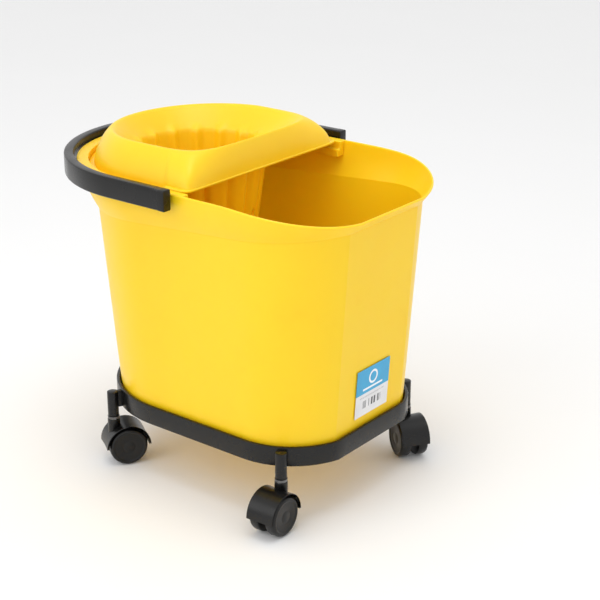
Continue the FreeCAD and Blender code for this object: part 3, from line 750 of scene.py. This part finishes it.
def addWeb(bm, position, spot):
    front, corner, cornerX, half, rearX = tub["foot"]
    side = math.copysign(1, spot.y)
    if position.startswith("front"):
        centre, radius = Vector((cornerX, side * (half - corner), 0)), corner
    else:
        centre, radius = Vector((rearX, 0, 0)), half
    inward = (centre - spot).normalized()
    start = spot + inward * (dolly["tubeRadius"] - 1)
    end = centre - inward * (radius + dolly["gap"] + dolly["wall"] * 0.6)
    made = bmesh.ops.create_cube(bm, size=1)
    web = set(made["verts"])
    bmesh.ops.scale(bm, vec=((end - start).length, dolly["webThick"], dolly["tubeHigh"] - dolly["low"]),
                    verts=made["verts"])
    edges = [edge for edge in bm.edges if edge.verts[0] in web and edge.verts[1] in web
             and abs(edge.verts[0].co.x - edge.verts[1].co.x) > 0.5]
    turn = Matrix.Rotation(math.atan2(inward.y, inward.x), 4, "Z")
    place = Matrix.Translation((start + end) / 2 + Vector((0, 0, (dolly["tubeHigh"] + dolly["low"]) / 2)))
    bmesh.ops.transform(bm, matrix=place @ turn, verts=made["verts"])
    bmesh.ops.bevel(bm, geom=edges, offset=0.6, offset_type="OFFSET", affect="EDGES", segments=2,
                    profile=0.5, material=-1)


dollyRing = makeDolly()
print("dolly made")


# Castors: hood over two wheels, drawn about the swivel axis and then turned into place
castor = {
    "axleBack": 12, "axleLevel": 20,
    "reach": 23.5, "inner": 21.6, "halfWidth": 15.5, "lip": 1.5, "fork": 7.4,
    "hub": 7, "axle": 2.5, "bossRadius": 6.4, "bossLow": 32, "bossTop": 50, "stem": 4,
    "tread": 20, "width": 11, "between": 8.6,
}
toAxle = Matrix.Translation((-castor["axleBack"], 0, castor["axleLevel"])) \
    @ Matrix.Rotation(math.pi / 2, 4, "X")


def makeHousing(position, place):
    bm = bmesh.new()
    reach, inner, half, lip = castor["reach"], castor["inner"], castor["halfWidth"], castor["lip"]
    shell = [(inner, -half), (reach - 0.5, -half), (reach, -half + 0.5), (reach, -half + lip),
             (reach - 0.9, -half + lip + 0.5), (reach - 0.7, -6), (reach - 0.55, 0), (reach - 0.7, 6),
             (reach - 0.9, half - lip - 0.5), (reach, half - lip), (reach, half - 0.5),
             (reach - 0.5, half), (inner, half)]
    # The arch is one closed section swept over the top half of the wheels
    start = bmesh.ops.create_vert(bm, co=(-shell[0][0], shell[0][1], 0))["vert"][0]
    verts = [start]
    for radius, across in shell[1:]:
        made = bmesh.ops.extrude_vert_indiv(bm, verts=[verts[-1]])
        made["verts"][0].co = (-radius, across, 0)
        verts += made["verts"]
    bmesh.ops.contextual_create(bm, geom=verts)
    face = list(bm.faces)
    bmesh.ops.spin(bm, geom=face, cent=(0, 0, 0), axis=(0, 1, 0), angle=math.pi, steps=36)
    addFork(bm, inner)
    bmesh.ops.translate(bm, vec=(-castor["axleBack"], 0, castor["axleLevel"]), verts=bm.verts)
    radius, low, top = castor["bossRadius"], castor["bossLow"], castor["bossTop"]
    lathe(bm, [(0, low), (radius, low), (radius, 42.5), (radius + 0.1, 43), (radius, top - 0.8),
               (radius - 0.8, top), (castor["stem"], top), (castor["stem"], 42), (0, 42)], 40)
    bmesh.ops.transform(bm, matrix=place, verts=bm.verts)
    name = "castor_%s_housing" % position
    return finishPiece("castorHood_" + position, bm, blackPlastic, "castor_" + position,
                       [name])


def addFork(bm, reach):
    # Central web: half disc with a round hub, pierced for the axle
    before = set(bm.verts)
    made = bmesh.ops.create_circle(bm, cap_ends=True, segments=64, radius=reach + 0.4)
    bmesh.ops.transform(bm, matrix=Matrix.Rotation(math.pi / 2, 4, "X"), verts=made["verts"])
    disc = [vert for vert in bm.verts if vert not in before]
    geom = disc + [edge for edge in bm.edges if edge.verts[0] in disc] \
        + [face for face in bm.faces if face.verts[0] in disc]
    bmesh.ops.bisect_plane(bm, geom=geom, plane_co=(0, 0, 0), plane_no=(0, 0, -1), clear_outer=True)
    half = castor["fork"] / 2
    faces = [face for face in bm.faces if all(vert not in before for vert in face.verts)]
    made = bmesh.ops.extrude_face_region(bm, geom=faces)
    bmesh.ops.translate(bm, vec=(0, castor["fork"], 0),
                        verts=[item for item in made["geom"] if isinstance(item, bmesh.types.BMVert)])
    bmesh.ops.translate(bm, vec=(0, -half, 0), verts=[vert for vert in bm.verts if vert not in before])
    axle = castor["axle"] + 0.02
    lathe(bm, [(axle, -half - 0.02), (castor["hub"], -half - 0.02), (castor["hub"], half + 0.02),
               (axle, half + 0.02), (axle, -half - 0.02)], 40, Matrix.Rotation(math.pi / 2, 4, "X"))


def makeWheel(position, side, place):
    tread, width = castor["tread"], castor["width"]
    bore = castor["axle"] + 0.05
    profile = [(bore, 8), (bore, 0), (tread - 1.4, 0), (tread - 0.4, 0.4), (tread, 1.4),
               (tread, width - 3.2), (tread - 0.35, width - 1.7), (tread - 1.1, width - 0.6),
               (tread - 2.4, width), (tread - 3.3, width), (tread - 3.8, width - 0.25),
               (tread - 4.4, width - 0.8), (tread - 5.2, width - 1.0), (7.6, width - 0.55),
               (7.2, width - 0.75), (5.8, width - 0.75), (5.4, width - 0.55), (0, width - 0.5),
               (0, 8), (bore, 8)]
    bm = bmesh.new()
    flip = Matrix.Rotation(math.pi if side == "left" else 0, 4, "X")
    lathe(bm, profile, 72, place @ toAxle @ flip @ Matrix.Translation((0, 0, castor["between"] / 2)))
    body = "wheel_%s_%s" % (position, side)
    return finishPiece("castorWheel_%s_%s" % (position, side), bm, wheelPlastic, body,
                       ["castor_%s_wheel_%s" % (position, side)], 40.0)


for position, spot in castorSpots.items():
    axleSpot = middle("castor_%s_axle" % position)
    back = Vector((spot.x - axleSpot.x, spot.y - axleSpot.y))
    place = Matrix.Translation(spot) @ Matrix.Rotation(math.atan2(back.y, back.x), 4, "Z")
    makeHousing(position, place)
    for side in ("left", "right"):
        makeWheel(position, side, place)
print("castors made")


# Carried-over nodes get their own finishes
carried = {"label": labelFilm}
for position in castorSpots:
    carried["castor_%s_stem" % position] = pinSteel
    carried["castor_%s_axle" % position] = pinSteel
    carried["castor_%s_grip_ring" % position] = springSteel
for name, material in carried.items():
    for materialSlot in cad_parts[name].material_slots:
        materialSlot.material = material
print("carried nodes finished")


# Stage, light and camera
studio = {
    "floorSize": 6.0, "floorTone": 0.86,
    "key": {"at": (-0.5, -2.2, 1.6), "size": 2.4, "power": 17, "spread": 180},
    "top": {"at": (0.3, -0.4, 2.8), "size": 3.4, "power": 9, "spread": 180},
    "mouth": {"at": (0.25, -0.2, 1.8), "size": 0.9, "power": 1.6, "spread": 100},
    "world": 0.93,
    "camera": (0.9189, -1.0761, 0.7206), "aim": (-0.1174, 0.2481, 0.0660), "lens": 88.15,
}


def makeFloor():
    bm = bmesh.new()
    bmesh.ops.create_grid(bm, x_segments=8, y_segments=8, size=studio["floorSize"])
    mesh = bpy.data.meshes.new("studioFloor")
    bm.to_mesh(mesh)
    bm.free()
    floor = bpy.data.objects.new("studioFloor", mesh)
    floor.location.z = -0.0004
    scene.collection.objects.link(floor)
    paper = Finish("floorPaper")
    tone = studio["floorTone"]
    cloud = paper.noise(3.0, 2.0)
    mesh.materials.append(paper.surface(Base_Color=paper.blend(cloud, (tone, tone, tone, 1),
                                                               (tone * 1.02,) * 3 + (1,)),
                                        Roughness=0.75))


def makeLamp(name):
    choice = studio[name]
    data = bpy.data.lights.new(name + "Lamp", "AREA")
    data.shape = "DISK"
    data.size = choice["size"]
    data.energy = choice["power"]
    data.spread = math.radians(choice["spread"])
    lamp = bpy.data.objects.new(name + "Lamp", data)
    lamp.location = choice["at"]
    toward = Vector((0.1, 0, 0.15)) - Vector(choice["at"])
    lamp.rotation_euler = toward.to_track_quat("-Z", "Y").to_euler()
    scene.collection.objects.link(lamp)


makeFloor()
for name in ("key", "top", "mouth"):
    makeLamp(name)
world = bpy.data.worlds.new("studioWorld")
world.use_nodes = True
world.node_tree.nodes["Background"].inputs["Color"].default_value = (1, 1, 1, 1)
world.node_tree.nodes["Background"].inputs["Strength"].default_value = studio["world"]
scene.world = world
cameraData = bpy.data.cameras.new("studioCamera")
cameraData.lens = studio["lens"]
cameraData.sensor_width = 36
camera = bpy.data.objects.new("studioCamera", cameraData)
camera.location = studio["camera"]
sight = Vector(studio["aim"]) - Vector(studio["camera"])
camera.rotation_euler = sight.to_track_quat("-Z", "Y").to_euler()
scene.collection.objects.link(camera)
scene.camera = camera
scene.view_settings.view_transform = "Standard"
print("studio set")
